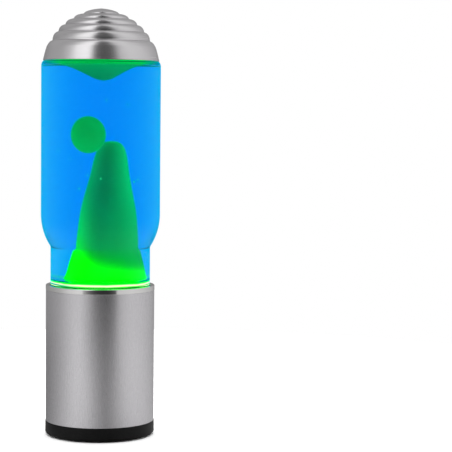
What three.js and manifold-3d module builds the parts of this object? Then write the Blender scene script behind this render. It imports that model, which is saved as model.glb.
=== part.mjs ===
// Lava lamp: a brushed metal tube base with a reflector bulb in it, and a glass bottle of blue
// liquid and green wax that stands in the tube's polished collar under a stepped metal cap.
// Millimetres, +Z up, origin on the lamp's axis where its rubber feet meet the table.
import * as THREE from 'three';
import { mergeVertices } from 'three/addons/utils/BufferGeometryUtils.js';
import Module from 'manifold-3d';

const wasm = await Module();
wasm.setup();

// ---------------------------------------------------------------- driving dimensions
const GAP = 0.3; // between pieces that lie against each other

const TUBE = { radius: 42, wall: 1, bottom: 10.9, top: 112.7 };
const FOOT = { radius: 42.3, bottom: 0.8, fillet: 1.9, flangeInner: 34.5, flangeTop: 5.2, spigotTop: 16 };
const COVER = { radius: 37.7, bottom: 0.8, top: 3.2, counterbore: 2.0 };
const COLLAR = { radius: 42.1, top: 116.5, opening: 38.9, ledge: 106.2, ledgeInner: 34, bottom: 105 };
const INLET = { z: 24, bore: 3.6, shank: 5, flange: 6.5 };

const GLASS = {
  radius: 46, wall: 2.4, bottom: 111.8, neck: 38.5, heel: 3, sphereZ: 171.3, cornerZ: 285.5, corner: 4.8,
  finish: 13, bead: 13.3, mouth: 9.2, lip: 315.5,
};
const FLOOR_Z = 117.2; // the inside floor of the bottle
const INNER_HEEL = 4;
const POOL_Z = 121.4; // where the wax pool meets the glass
const FILL_Z = 298.6; // how high the bottle is filled

const CAP_RIM = { z: 289.4, radius: 44.65, wall: 0.55 };
const CAP_TOP = 329.5;

const BALL = { x: -8.7, y: -27.6, z: 233, radius: 12, height: 13.9, down: 50 };
const COIL = { ring: 17, radius: 2.75, wire: 0.4, turns: 18, openAngle: 0.25 };

const BRIDGE = { halfLength: 27, halfWidth: 8, leg: 16, sheet: 1.2, top: 14.2, screwX: 22 };
const HOLDER = { bottom: 14.2, joint: 30, top: 58, coreBottom: 24, boreFloor: 36.5, bore: 7.7, terminalX: 7 };
const BULB = { tip: 37.2, shellBottom: 41.4, shellTop: 57.5, thread: 6.95, pitch: 2.82, glass: 0.8 };

const SCREW_HOLE = 1.6;
const COVER_SCREWS = { radius: 34, angles: [90, 210, 330] };
const RUBBER_FEET = { radius: 29, foot: 4.5, angles: [45, 135, 225, 315] };

const ROUND = { large: 28, medium: 20, small: 12, tiny: 10 }; // sides of the round pieces

// ---------------------------------------------------------------- geometry helpers
const degrees = (angle) => (angle * Math.PI) / 180;

// points on a circular arc round (r, z), angles in degrees from +r towards +z
function arc(r, z, radius, from, to, steps) {
  return Array.from({ length: steps + 1 }, (_, i) => {
    const angle = degrees(from + ((to - from) * i) / steps);
    return [r + radius * Math.cos(angle), z + radius * Math.sin(angle)];
  });
}

// keeps position only, shares vertices, and drops the empty triangles at a lathe's poles
function clean(geometry) {
  geometry.deleteAttribute('normal');
  geometry.deleteAttribute('uv');
  const merged = mergeVertices(geometry, 1e-4);
  const index = [];
  for (let i = 0; i < merged.index.count; i += 3) {
    const [a, b, c] = [0, 1, 2].map((k) => merged.index.getX(i + k));
    if (a !== b && b !== c && c !== a) index.push(a, b, c);
  }
  merged.setIndex(index);
  merged.computeVertexNormals();
  return merged;
}

// a body of revolution about Z from [r, z] points, which start and end on the axis or close up
function lathe(points, sides = ROUND.large) {
  const closed = points[0][0] > 0 || points.at(-1)[0] > 0;
  const outline = closed ? [...points, points[0]] : points;
  const loop = points.map(([r, z], i) => {
    const [nextR, nextZ] = points[(i + 1) % points.length];
    return r * nextZ - nextR * z;
  });
  const anticlockwise = loop.reduce((sum, cross) => sum + cross, 0) > 0;
  const ordered = anticlockwise ? outline : outline.toReversed();
  const geometry = new THREE.LatheGeometry(ordered.map(([r, z]) => new THREE.Vector2(r, z)), sides);
  return clean(geometry.rotateX(Math.PI / 2));
}

function cylinder(radius, bottom, top, sides = ROUND.tiny) {
  return lathe([[0, bottom], [radius, bottom], [radius, top], [0, top]], sides);
}

function box(x, y, z) {
  const size = [x, y, z].map(([low, high]) => high - low);
  const middle = [x, y, z].map(([low, high]) => (low + high) / 2);
  return clean(new THREE.BoxGeometry(...size).translate(...middle));
}

// an outline in X and Z, as thick as halfWidth each side of Y = 0
function bentSheet(outline, halfWidth) {
  const shape = new THREE.Shape(outline.map(([x, z]) => new THREE.Vector2(x, z)));
  const geometry = new THREE.ExtrudeGeometry(shape, { depth: 2 * halfWidth, bevelEnabled: false });
  return clean(geometry.rotateX(Math.PI / 2).translate(0, halfWidth, 0));
}

// a wire of square section along a curve
function wire(curve, radius, steps) {
  const corners = [[radius, 0], [0, radius], [-radius, 0], [0, -radius]];
  const section = new THREE.Shape(corners.map(([x, y]) => new THREE.Vector2(x, y)));
  return clean(new THREE.ExtrudeGeometry(section, { steps, extrudePath: curve }));
}

function toSolid(geometry) {
  const vertProperties = new Float32Array(geometry.attributes.position.array);
  const triVerts = new Uint32Array(geometry.index.array);
  return new wasm.Manifold(new wasm.Mesh({ numProp: 3, vertProperties, triVerts }));
}

function toGeometry(solid) {
  const { vertProperties, triVerts } = solid.getMesh();
  const geometry = new THREE.BufferGeometry();
  geometry.setAttribute('position', new THREE.BufferAttribute(new Float32Array(vertProperties), 3));
  geometry.setIndex(new THREE.BufferAttribute(new Uint32Array(triVerts), 1));
  geometry.computeVertexNormals();
  return geometry;
}

const combine = (method) => (first, ...others) =>
  toGeometry(others.reduce((solid, other) => solid[method](toSolid(other)), toSolid(first)));
const join = combine('add');
const cut = combine('subtract');
const overlap = combine('intersect');

// where a piece repeats round the axis: a copy at each angle, moved out from the axis
function around(angles, radius, make) {
  return angles.map((angle) => {
    const place = [radius * Math.cos(degrees(angle)), radius * Math.sin(degrees(angle)), 0];
    return make().translate(...place);
  });
}

// ---------------------------------------------------------------- looks
const LOOKS = {
  satinMetal: [0xb9b2ac, 0.42, 0.95],
  polishedMetal: [0xd8d6d3, 0.12, 1],
  spunMetal: [0xc9c6c2, 0.3, 1],
  blackPlastic: [0x171717, 0.5, 0],
  rubber: [0x1d1d1d, 0.85, 0],
  silicone: [0xc9c9c4, 0.6, 0],
  steel: [0x9a9c9f, 0.35, 1],
  brass: [0xc9a45a, 0.3, 1],
  porcelain: [0xeeece4, 0.3, 0],
  phenolic: [0x1a1613, 0.35, 0],
  clearGlass: [0xeaf4ff, 0.03, 0],
  blueLiquid: [0x008cfa, 0.05, 0],
  greenWax: [0x2fd24a, 0.4, 0],
  cork: [0xe9e4d6, 0.7, 0],
  bulbGlass: [0xf4efe2, 0.1, 0],
  blackGlass: [0x14141a, 0.1, 0],
  tungsten: [0x6e6c70, 0.4, 1],
};

const lamp = new THREE.Group();
const base = new THREE.Group();
const bulb = new THREE.Group();
const bottle = new THREE.Group();
const cap = new THREE.Group();
lamp.add(base, bulb, bottle, cap);

function piece(group, name, geometry, look, position = [0, 0, 0]) {
  const [color, roughness, metalness] = LOOKS[look];
  const mesh = new THREE.Mesh(geometry, new THREE.MeshStandardMaterial({ color, roughness, metalness }));
  mesh.name = name;
  mesh.position.set(...position);
  group.add(mesh);
}

// ---------------------------------------------------------------- base housing
function baseTube() {
  const inner = TUBE.radius - TUBE.wall;
  const tube = lathe([
    [inner, TUBE.bottom], [TUBE.radius, TUBE.bottom], [TUBE.radius, TUBE.top], [inner, TUBE.top],
  ]);
  const inletHole = cylinder(INLET.shank + GAP, 30, 50, ROUND.small);
  return cut(tube, inletHole.rotateX(-Math.PI / 2).translate(0, 0, INLET.z));
}

function topCollar() {
  const edge = 0.5;
  return lathe([
    [COLLAR.radius, TUBE.top],
    ...arc(COLLAR.radius - edge, COLLAR.top - edge, edge, 0, 90, 2),
    [COLLAR.opening, COLLAR.top], [COLLAR.opening, COLLAR.ledge],
    [COLLAR.ledgeInner, COLLAR.ledge], [COLLAR.ledgeInner, COLLAR.bottom],
    [TUBE.radius - TUBE.wall - GAP, COLLAR.bottom], [TUBE.radius - TUBE.wall - GAP, TUBE.top],
  ]);
}

function seatGasket() {
  const [inner, outer] = [COLLAR.ledgeInner + 0.2, COLLAR.opening - GAP];
  return lathe([
    [inner, COLLAR.ledge], [outer, COLLAR.ledge], [outer, GLASS.bottom - 1],
    [outer - 1, GLASS.bottom], [inner, GLASS.bottom],
  ]);
}

function footRing() {
  const inside = COVER.radius + GAP;
  const spigot = TUBE.radius - TUBE.wall - GAP;
  const wall = 1.9;
  const boss = { radius: 3.4, top: 12, pilotTop: 10.5 };
  const ring = lathe([
    [inside, FOOT.bottom],
    ...arc(FOOT.radius - FOOT.fillet, FOOT.bottom + FOOT.fillet, FOOT.fillet, -90, 0, 3),
    [FOOT.radius, TUBE.bottom], [spigot, TUBE.bottom], [spigot, FOOT.spigotTop],
    [spigot - wall, FOOT.spigotTop], [spigot - wall, FOOT.flangeTop],
    [FOOT.flangeInner, FOOT.flangeTop], [FOOT.flangeInner, COVER.top], [inside, COVER.top],
  ]);
  const { angles, radius } = COVER_SCREWS;
  const bosses = around(angles, radius, () => cylinder(boss.radius, COVER.top, boss.top));
  const pilots = around(angles, radius, () => cylinder(SCREW_HOLE, COVER.top - 1, boss.pilotTop));
  return cut(join(ring, ...bosses), ...pilots);
}

function bottomCover() {
  const below = COVER.bottom - 1;
  const footRecess = () => cylinder(RUBBER_FEET.foot + GAP, below, 1.4, ROUND.small);
  const counterbore = () => cylinder(3.1, below, COVER.counterbore);
  const screwHole = () => cylinder(SCREW_HOLE, below, COVER.top + 1);
  const vents = [60, 90, 120, 240, 270, 300].map((angle) =>
    box([12, 24], [-1.3, 1.3], [below, COVER.top + 1]).rotateZ(degrees(angle)));
  return cut(
    cylinder(COVER.radius, COVER.bottom, COVER.top, ROUND.large),
    ...vents,
    ...around(RUBBER_FEET.angles, RUBBER_FEET.radius, footRecess),
    ...around(COVER_SCREWS.angles, COVER_SCREWS.radius, counterbore),
    ...around(COVER_SCREWS.angles, COVER_SCREWS.radius, screwHole),
    ...around([0, 180], BRIDGE.screwX, counterbore),
    ...around([0, 180], BRIDGE.screwX, screwHole),
  );
}

// a pan-head screw that points up, its head's bearing face at z = 0, with a cross recess
function crossHeadScrew(length) {
  const head = { radius: 2.7, height: 1.05 };
  const shank = SCREW_HOLE - GAP;
  const body = lathe([
    [0, -head.height], [head.radius - 0.5, -head.height], [head.radius, -head.height + 0.5],
    [head.radius, 0], [shank, 0], [shank, length - 1], [0.4, length], [0, length],
  ], ROUND.tiny);
  const recess = [[-1.5, 1.5], [-0.3, 0.3]];
  const depth = [-head.height - 1, -head.height + 0.5];
  return cut(body, box(recess[0], recess[1], depth), box(recess[1], recess[0], depth));
}

function inletBush() {
  const lip = 0.8;
  const profile = [
    [INLET.bore, 37.6], [INLET.shank - 0.4, 37.6], [INLET.shank + lip, 39], [INLET.shank + lip, 40.2],
    [INLET.shank, 40.2], [INLET.shank, 42.1], [INLET.flange, 42.1], [INLET.flange, 43.4],
    [INLET.flange - 0.9, 44.3], [INLET.bore + 0.7, 44.3], [INLET.bore, 43.6],
  ];
  return lathe(profile, ROUND.small).rotateX(-Math.PI / 2);
}

piece(base, 'base_tube', baseTube(), 'satinMetal');
piece(base, 'top_collar', topCollar(), 'polishedMetal');
piece(base, 'seat_gasket', seatGasket(), 'silicone');
piece(base, 'foot_ring', footRing(), 'blackPlastic');
piece(base, 'bottom_cover', bottomCover(), 'blackPlastic');
piece(base, 'inlet_bush', inletBush(), 'blackPlastic', [0, 0, INLET.z]);

COVER_SCREWS.angles.forEach((angle, i) => {
  const [x, y] = [Math.cos(degrees(angle)), Math.sin(degrees(angle))].map((v) => v * COVER_SCREWS.radius);
  piece(base, `cover_screw_${i + 1}`, crossHeadScrew(7.5), 'steel', [x, y, COVER.counterbore]);
});
[-BRIDGE.screwX, BRIDGE.screwX].forEach((x, i) => {
  piece(base, `bracket_screw_${i + 1}`, crossHeadScrew(5), 'steel', [x, 0, COVER.counterbore]);
});
RUBBER_FEET.angles.forEach((angle, i) => {
  const [x, y] = [Math.cos(degrees(angle)), Math.sin(degrees(angle))].map((v) => v * RUBBER_FEET.radius);
  const foot = lathe([
    [0, 0], [RUBBER_FEET.foot - 0.4, 0], [RUBBER_FEET.foot, 0.4], [RUBBER_FEET.foot, 1.4], [0, 1.4],
  ], ROUND.small);
  piece(base, `rubber_foot_${i + 1}`, foot, 'rubber', [x, y, 0]);
});

// ---------------------------------------------------------------- lamp holder
function holderBracket() {
  const { halfLength, halfWidth, leg, sheet, top } = BRIDGE;
  const foot = COVER.top;
  const outline = [
    [-halfLength, foot], [-leg + sheet, foot], [-leg + sheet, top - sheet], [leg - sheet, top - sheet],
    [leg - sheet, foot], [halfLength, foot], [halfLength, foot + sheet], [leg, foot + sheet],
    [leg, top], [-leg, top], [-leg, foot + sheet], [-halfLength, foot + sheet],
  ];
  return cut(
    bentSheet(outline, halfWidth),
    cylinder(5.3, top - 3, top + 3, ROUND.small),
    ...around([0, 180], BRIDGE.screwX, () => cylinder(SCREW_HOLE, 0, foot + 3)),
  );
}

function hexNut(acrossFlats, hole, height) {
  const corner = acrossFlats / Math.sqrt(3);
  const corners = [0, 1, 2, 3, 4, 5].map((i) => degrees(60 * i));
  const outline = corners.map((a) => new THREE.Vector2(corner * Math.cos(a), corner * Math.sin(a)));
  const shape = new THREE.Shape(outline);
  shape.holes.push(new THREE.Path().absarc(0, 0, hole, 0, 2 * Math.PI, true));
  return clean(new THREE.ExtrudeGeometry(shape, { depth: height, bevelEnabled: false, curveSegments: 12 }));
}

function holderCap() {
  const { bottom, joint, coreBottom } = HOLDER;
  return lathe([
    [5.3, bottom], [12.8, bottom], [14.2, bottom + 1.4], [14.2, joint], [12.4, joint],
    [12.4, coreBottom], [10.2, coreBottom], [10.2, bottom + 4.2], [5.3, bottom + 4.2],
  ], ROUND.medium);
}

function holderSleeve() {
  const { joint, top } = HOLDER;
  return lathe([
    [11.8, joint], [13.6, joint], [13.6, top - 1], [12.9, top], [9, top], [9, top - 1.2], [11.8, top - 1.2],
  ], ROUND.medium);
}

function holderCore() {
  const { coreBottom, boreFloor, bore, top, terminalX } = HOLDER;
  const rim = top - 1.5;
  const cup = lathe([
    [0, coreBottom], [11.5, coreBottom], [11.5, rim], [bore, rim], [bore, boreFloor], [0, boreFloor],
  ], ROUND.medium);
  const below = coreBottom - 1;
  return cut(
    cup,
    box([-4.8, -3.7], [-2.3, 2.3], [below, boreFloor + 1]),
    box([8.3, 9.6], [-2.3, 2.3], [below, boreFloor + 1]),
    box([5, 9.6], [-2.3, 2.3], [boreFloor, 50]),
    ...around([0, 180], terminalX, () => cylinder(SCREW_HOLE, below, coreBottom + 8)),
  );
}

// brass strips 0.5 thick: one rises to a tongue under the bulb's tip, one to the side of its shell
function holderContact(outline, screwX) {
  const tab = HOLDER.coreBottom - 0.5;
  return cut(bentSheet(outline, 2), cylinder(SCREW_HOLE, tab - 1, tab + 1).translate(screwX, 0, 0));
}
const TAB = [HOLDER.coreBottom - 0.5, HOLDER.coreBottom];
const centreContact = holderContact([
  [-9.4, TAB[0]], [-4, TAB[0]], [-4, 36.6], [2.5, 36.6], [2.5, 37.1], [-4.5, 37.1], [-4.5, TAB[1]], [-9.4, TAB[1]],
], -HOLDER.terminalX);
const sideContact = holderContact([
  [4.6, TAB[0]], [9.2, TAB[0]], [9.2, 45], [7.7, 48], [7.2, 47.6], [8.7, 44.6], [8.7, TAB[1]], [4.6, TAB[1]],
], HOLDER.terminalX);

function terminalScrew() {
  const shank = SCREW_HOLE - GAP;
  return lathe([[0, -1.6], [2, -1.6], [2, 0], [shank, 0], [shank, 6.5], [0, 6.5]], ROUND.tiny);
}

const nippleTube = lathe([[3.5, 8.6], [5, 8.6], [5, 20.5], [3.5, 20.5]], ROUND.small);
piece(base, 'holder_bracket', holderBracket(), 'steel');
piece(base, 'holder_nipple', nippleTube, 'brass');
piece(base, 'holder_nut', hexNut(14, 5.3, 3.4), 'brass', [0, 0, BRIDGE.top - BRIDGE.sheet - 3.4]);
piece(base, 'holder_cap', holderCap(), 'phenolic');
piece(base, 'holder_sleeve', holderSleeve(), 'phenolic');
piece(base, 'holder_core', holderCore(), 'porcelain');
piece(base, 'centre_contact', centreContact, 'brass');
piece(base, 'side_contact', sideContact, 'brass');
piece(base, 'terminal_screw_1', terminalScrew(), 'brass', [-HOLDER.terminalX, 0, TAB[0]]);
piece(base, 'terminal_screw_2', terminalScrew(), 'brass', [HOLDER.terminalX, 0, TAB[0]]);

// ---------------------------------------------------------------- reflector bulb
function bulbShell() {
  const { shellBottom, shellTop, thread, pitch } = BULB;
  const threads = [0, 1, 2, 3].flatMap((turn) => {
    const z = shellBottom + 1.4 + turn * pitch;
    return [[thread - 0.5, z], [thread, z + pitch / 2]];
  });
  return lathe([
    [5, shellBottom], [thread - 0.7, shellBottom], ...threads, [thread - 0.4, shellTop - 3],
    [thread - 0.4, shellTop], [6.2, shellTop], [6.2, shellBottom + 0.8], [5, shellBottom + 0.8],
  ], ROUND.small);
}

function bulbEnvelope() {
  const outer = [
    [5.9, 52], [5.9, 58], [6.9, 62], [9.5, 68], [13.8, 75.5], [17.6, 82],
    [19.3, 87], [19.3, 91], [17.4, 96], [13.4, 100], [7.4, 102.4], [0, 103],
  ];
  const inner = outer.toReversed().map(([r, z]) => {
    const lowered = Math.max((z - 88) / 15, 0) * BULB.glass;
    return [Math.max(r - (r > 0 ? BULB.glass : 0), 0), z - lowered];
  });
  return lathe([...outer, ...inner], ROUND.medium);
}

function bulbWire(points, radius) {
  const curve = new THREE.CatmullRomCurve3(points.map(([x, z]) => new THREE.Vector3(x, 0, z)));
  return wire(curve, radius, 6);
}

const bulbTip = lathe([
  [0, BULB.tip], [2.6, BULB.tip], [3.4, BULB.tip + 0.6], [3.4, BULB.tip + 2], [0, BULB.tip + 2],
], ROUND.small);
const bulbInsulator = lathe([
  [0, BULB.tip + 2], [4.2, BULB.tip + 2], [6.1, BULB.shellBottom], [0, BULB.shellBottom],
], ROUND.small);
const bulbStem = lathe([[0, 46], [4.6, 46], [3.4, 56], [1.7, 63], [1.7, 69.5], [0, 69.5]], ROUND.tiny);
piece(bulb, 'bulb_tip', bulbTip, 'brass');
piece(bulb, 'bulb_insulator', bulbInsulator, 'blackGlass');
piece(bulb, 'bulb_screw_shell', bulbShell(), 'brass');
piece(bulb, 'bulb_envelope', bulbEnvelope(), 'bulbGlass');
piece(bulb, 'bulb_stem', bulbStem, 'clearGlass');
piece(bulb, 'bulb_lead_1', bulbWire([[-1, 69.8], [-3.5, 75], [-6, 80]], 0.35), 'tungsten');
piece(bulb, 'bulb_lead_2', bulbWire([[1, 69.8], [3.5, 75], [6, 80]], 0.35), 'tungsten');
piece(bulb, 'bulb_filament', bulbWire([[-5.6, 80.8], [0, 82.2], [5.6, 80.8]], 0.35), 'tungsten');

// ---------------------------------------------------------------- bottle
// the domed shoulder, from the corner arc's end in to the finish
function shoulder(drop) {
  return [[39, 292.1], [31, 296], [23, 299.4], [16.5, 301.6]].map(([r, z]) => [r, z - drop]);
}

// the bottle's wall in from the outside by `depth`, from its neck crease to the corner's end
function bottleWall(depth, neck) {
  const radius = GLASS.radius - depth;
  const crease = (Math.acos(neck / radius) * 180) / Math.PI;
  return [
    ...arc(0, GLASS.sphereZ, radius, -crease, 0, 3),
    ...arc(GLASS.radius - GLASS.corner, GLASS.cornerZ, GLASS.corner - depth, 0, 60, 2),
  ];
}

// the space inside the glass, kept `gap` away from it and filled to FILL_Z
function bottleInside(gap) {
  const depth = GLASS.wall + gap;
  const neck = GLASS.neck - depth;
  const heel = INNER_HEEL - gap;
  const floor = FLOOR_Z + gap;
  return [
    [0, floor],
    ...arc(neck - heel, floor + heel, heel, -90, 0, 2),
    ...bottleWall(depth, neck),
    ...shoulder(depth * 1.07).slice(0, 3),
    [16.8, FILL_Z], [0, FILL_Z],
  ];
}

function glassBottle() {
  const { wall, bottom, neck, heel, finish, bead, mouth, lip } = GLASS;
  const innerNeck = neck - wall;
  return lathe([
    [0, bottom + 1.5], [20, bottom + 1.2], [31, bottom],
    ...arc(neck - heel, bottom + heel, heel, -90, 0, 2),
    ...bottleWall(0, neck),
    ...shoulder(0),
    [13.6, 303], [finish, 305], [finish, lip - 6.9], [bead, lip - 6.1], [bead, lip - 0.9], [12.6, lip],
    [mouth, lip], [mouth, 302.6],
    ...shoulder(wall * 1.07).toReversed(),
    ...bottleWall(wall, innerNeck).toReversed(),
    ...arc(innerNeck - INNER_HEEL, FLOOR_Z + INNER_HEEL, INNER_HEEL, 0, -90, 2),
    [0, FLOOR_Z],
  ]);
}

function crownCap() {
  const top = GLASS.lip + 1.1;
  return lathe([
    [0, top], [13.2, top], [14.2, top - 0.8], [14.9, top - 3], [16.05, top - 6],
    [15.6, top - 6], [14.4, top - 3.6], [13.6, top - 1.6], [13.6, top - 0.6], [0, top - 0.6],
  ], ROUND.medium);
}

// the rising column leans to +X as it goes up: how far its middle is from the axis at a height
function columnShift(z) {
  const stations = [[POOL_Z, 0], [127, 3.3], [183, 4.6], [228, 6.2], [400, 6.2]];
  if (z <= POOL_Z) return 0;
  const i = stations.findIndex(([height]) => z <= height);
  const [[lowZ, lowX], [highZ, highX]] = [stations[i - 1], stations[i]];
  return lowX + ((highX - lowX) * (z - lowZ)) / (highZ - lowZ);
}

// moves every vertex sideways by a distance that depends on its height
function lean(geometry, shift) {
  const { position } = geometry.attributes;
  for (let i = 0; i < position.count; i += 1) position.setX(i, position.getX(i) + shift(position.getZ(i)));
  return geometry;
}

// the wax pool on the floor and the column that rises from it, `grow` larger all round
function waxColumnBody(grow) {
  const column = [
    [24, 123.5], [22.4, 127.4], [20.7, 136.7], [18.9, 146.1], [17.8, 158], [15.9, 174], [13.6, 188],
    [11.4, 201.8], [9.6, 215], [7.2, 223.5], [4, 227],
  ];
  const poolEdge = GLASS.neck - GLASS.wall - GAP;
  const pool = arc(poolEdge - INNER_HEEL + GAP, FLOOR_Z + INNER_HEEL, INNER_HEEL - GAP, -90, 0, 2);
  const sides = grow > 0 ? [[50, FLOOR_Z - 1], [50, POOL_Z + grow]] : [...pool, [poolEdge, POOL_Z]];
  const geometry = lathe([
    [0, grow > 0 ? FLOOR_Z - 1 : FLOOR_Z + GAP], ...sides, [28, POOL_Z + 0.6 + grow],
    ...column.map(([r, z]) => [r + grow, z + grow / 2]), [0, 228 + grow],
  ], ROUND.medium);
  return lean(geometry, columnShift);
}

function waxColumn() {
  const groove = lathe(arc(COIL.ring, coilZ, COIL.radius + COIL.wire + 0.2, 0, 315, 7), ROUND.medium);
  return cut(waxColumnBody(0), groove);
}

// the wax gathered under the shoulder, with a bell that hangs down round the axis
function bellSpace(drop) {
  const bell = [
    [0, 274], [4.5, 275.3], [8.7, 278.1], [13.2, 281.2], [17.9, 284.3], [22.1, 285.6], [30, 288], [38, 289.6],
    [50, 290.5], [50, FILL_Z + 9], [0, FILL_Z + 9],
  ].map(([r, z]) => [r, z - drop]);
  return lean(lathe(bell, ROUND.medium), (z) => (z < 286 ? 1.5 * (286 - z) / 12 : 0));
}

function blueLiquid() {
  const inside = lathe(bottleInside(GAP));
  const clearance = BALL.radius + 2 * GAP;
  const lowest = BALL.z - BALL.down;
  const channel = lathe([
    [0, lowest - BALL.height - 2 * GAP],
    ...[-60, -30, 0].map((angle) => [
      clearance * Math.cos(degrees(angle)), lowest + (BALL.height + 2 * GAP) * Math.sin(degrees(angle)),
    ]),
    [clearance, FILL_Z + 5], [0, FILL_Z + 5],
  ]);
  return cut(inside, waxColumnBody(GAP), bellSpace(GAP), channel.translate(BALL.x, BALL.y, 0));
}

function waxBall() {
  const sphere = new THREE.SphereGeometry(1, 16, 10).rotateX(Math.PI / 2);
  return clean(sphere.scale(BALL.radius, BALL.radius, BALL.height));
}

const coilZ = FLOOR_Z + COIL.radius + COIL.wire + 0.1;
class RingCoil extends THREE.Curve {
  getPoint(t, target = new THREE.Vector3()) {
    const along = COIL.openAngle + t * (2 * Math.PI - 2 * COIL.openAngle);
    const twist = t * COIL.turns * 2 * Math.PI;
    const r = COIL.ring + COIL.radius * Math.cos(twist);
    return target.set(r * Math.cos(along), r * Math.sin(along), COIL.radius * Math.sin(twist));
  }
}

piece(bottle, 'glass_bottle', glassBottle(), 'clearGlass');
piece(bottle, 'crown_liner', cylinder(13, GLASS.lip, GLASS.lip + 0.5, ROUND.medium), 'cork');
piece(bottle, 'crown_cap', crownCap(), 'steel');
piece(bottle, 'blue_liquid', blueLiquid(), 'blueLiquid');
piece(bottle, 'wax_column', waxColumn(), 'greenWax');
piece(bottle, 'wax_top', overlap(lathe(bottleInside(GAP)), bellSpace(0)), 'greenWax');
piece(bottle, 'wire_coil', wire(new RingCoil(), COIL.wire, COIL.turns * 6), 'steel', [0, 0, coilZ]);
piece(bottle, 'wax_ball', waxBall(), 'greenWax', [BALL.x, BALL.y, BALL.z]);

// ---------------------------------------------------------------- top cap
// a convex step of the cap, from its groove above out to its foot
function bead(grooveR, topZ, footR, footZ) {
  return [12, 48, 90].map((angle) => [
    grooveR + (footR - grooveR) * Math.sin(degrees(angle)),
    footZ + (topZ - footZ) * Math.cos(degrees(angle)),
  ]);
}

function topCap() {
  const outside = [
    [0, CAP_TOP], [5, 328.9], [9.4, 327.9], [12, 326.8], [13.6, 325.2],
    ...bead(13.6, 325.2, 21.05, 321.5),
    ...bead(21.05, 321.4, 27.45, 316.9),
    ...bead(27.45, 316.8, 32.8, 311.5),
    ...bead(32.8, 311.4, 37.4, 304.7),
    [38.9, 304], [40.2, 302.7], [41.3, 301], [42.1, 299.3], [43.3, 295.2],
    [CAP_RIM.radius, CAP_RIM.z],
  ];
  const inside = [
    [CAP_RIM.radius - CAP_RIM.wall, CAP_RIM.z], [42.6, 295.4], [40.9, 299.8],
    [36.6, 303.8], [31.9, 310.7], [26.6, 315.9], [20.4, 320.5], [11.2, 326], [0, CAP_TOP - 0.9],
  ];
  return lathe([...outside, ...inside]);
}

piece(cap, 'top_cap', topCap(), 'spunMetal');

export default lamp;
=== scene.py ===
"""Lava lamp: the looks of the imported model. Blender 4.5, metres, in the CAD frame.

Sizes in the profiles below are in millimetres and are turned into metres by the mesh helpers.
"""

import math

import bmesh
import bpy
from mathutils import Matrix, Vector


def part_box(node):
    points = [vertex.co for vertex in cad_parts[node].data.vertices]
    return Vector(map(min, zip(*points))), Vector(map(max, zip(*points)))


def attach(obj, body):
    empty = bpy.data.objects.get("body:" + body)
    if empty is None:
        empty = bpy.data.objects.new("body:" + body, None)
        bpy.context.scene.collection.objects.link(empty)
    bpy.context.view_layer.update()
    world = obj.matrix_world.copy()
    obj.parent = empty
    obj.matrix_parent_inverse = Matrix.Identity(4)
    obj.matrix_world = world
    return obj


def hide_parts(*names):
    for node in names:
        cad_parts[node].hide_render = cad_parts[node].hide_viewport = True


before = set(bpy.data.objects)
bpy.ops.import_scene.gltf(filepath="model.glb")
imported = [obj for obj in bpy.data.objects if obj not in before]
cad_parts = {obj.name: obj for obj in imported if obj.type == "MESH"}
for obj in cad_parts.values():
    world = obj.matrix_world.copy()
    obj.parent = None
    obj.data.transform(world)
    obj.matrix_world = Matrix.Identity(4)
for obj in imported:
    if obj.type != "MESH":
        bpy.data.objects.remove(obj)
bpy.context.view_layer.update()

MM = 0.001
TAU = 2 * math.pi

# ------------------------------ sizes shared with the CAD, mm
TUBE_R, TUBE_WALL, TUBE_BOTTOM, TUBE_TOP = 42.0, 1.0, 10.9, 112.7
COLLAR_R, COLLAR_TOP, COLLAR_OPENING, COLLAR_LEDGE, COLLAR_BOTTOM = 42.1, 116.5, 38.9, 106.2, 105.0
FOOT_R, FOOT_BOTTOM = 42.3, 0.8
COVER_R, COVER_TOP = 37.7, 3.2
GLASS_R, GLASS_WALL, GLASS_BOTTOM, NECK_R = 46.0, 2.4, 111.8, 38.5
SHOULDER_DROP = 1.07  # how far the shoulder lies lower for each mm of wall
SPHERE_Z, CORNER_Z, CORNER_R = 171.3, 285.5, 4.8
FLOOR_Z, HEEL_R, INNER_HEEL, FILL_Z, LIP_Z = 117.2, 3.0, 4.0, 298.6, 315.5
POOL_Z = 121.3
CAP_TOP, CAP_RIM_Z, CAP_RIM_R = 329.5, 289.4, 44.65
INLET_Z, INLET_SHANK = 24.0, 5.0
COVER_SCREW_ANGLES, FOOT_ANGLES = (90, 210, 330), (45, 135, 225, 315)
COVER_SCREW_CIRCLE, FEET_CIRCLE = 34, 29
BRIDGE_SCREW_X, TERMINAL_X = (-22, 22), (-7, 7)
SCREW_HOLE_R, COUNTERBORE_TOP, TERMINAL_Z = 1.6, 2.0, 23.5


# ------------------------------ mesh helpers
def arc(r, z, radius, start, end, steps):
    """Points on a circular arc round (r, z), angles in degrees from +r towards +z."""
    angles = [math.radians(start + (end - start) * i / steps) for i in range(steps + 1)]
    return [(r + radius * math.cos(a), z + radius * math.sin(a)) for a in angles]


def smooth(points, steps=6):
    """A Catmull-Rom curve through the points."""
    padded = [points[0], *points, points[-1]]
    curve = []
    for p0, p1, p2, p3 in zip(padded, padded[1:], padded[2:], padded[3:]):
        for i in range(steps):
            t = i / steps
            curve.append(tuple(
                0.5 * (2 * b + (c - a) * t + (2 * a - 5 * b + 4 * c - d) * t * t
                       + (3 * b - a - 3 * c + d) * t ** 3)
                for a, b, c, d in zip(p0, p1, p2, p3)))
    return [*curve, points[-1]]


def add_object(name, mesh, material, body, *replaced, sharp=35, slot=None):
    """Smooth-shades the mesh with sharp edges kept, and makes it ride on a body."""
    mesh.materials.append(material)
    mesh.shade_smooth()
    mesh.set_sharp_from_angle(angle=math.radians(sharp))
    obj = bpy.data.objects.new(name, mesh)
    bpy.context.scene.collection.objects.link(obj)
    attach(obj, body)
    if replaced:
        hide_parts(*replaced)
    return obj


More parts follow.
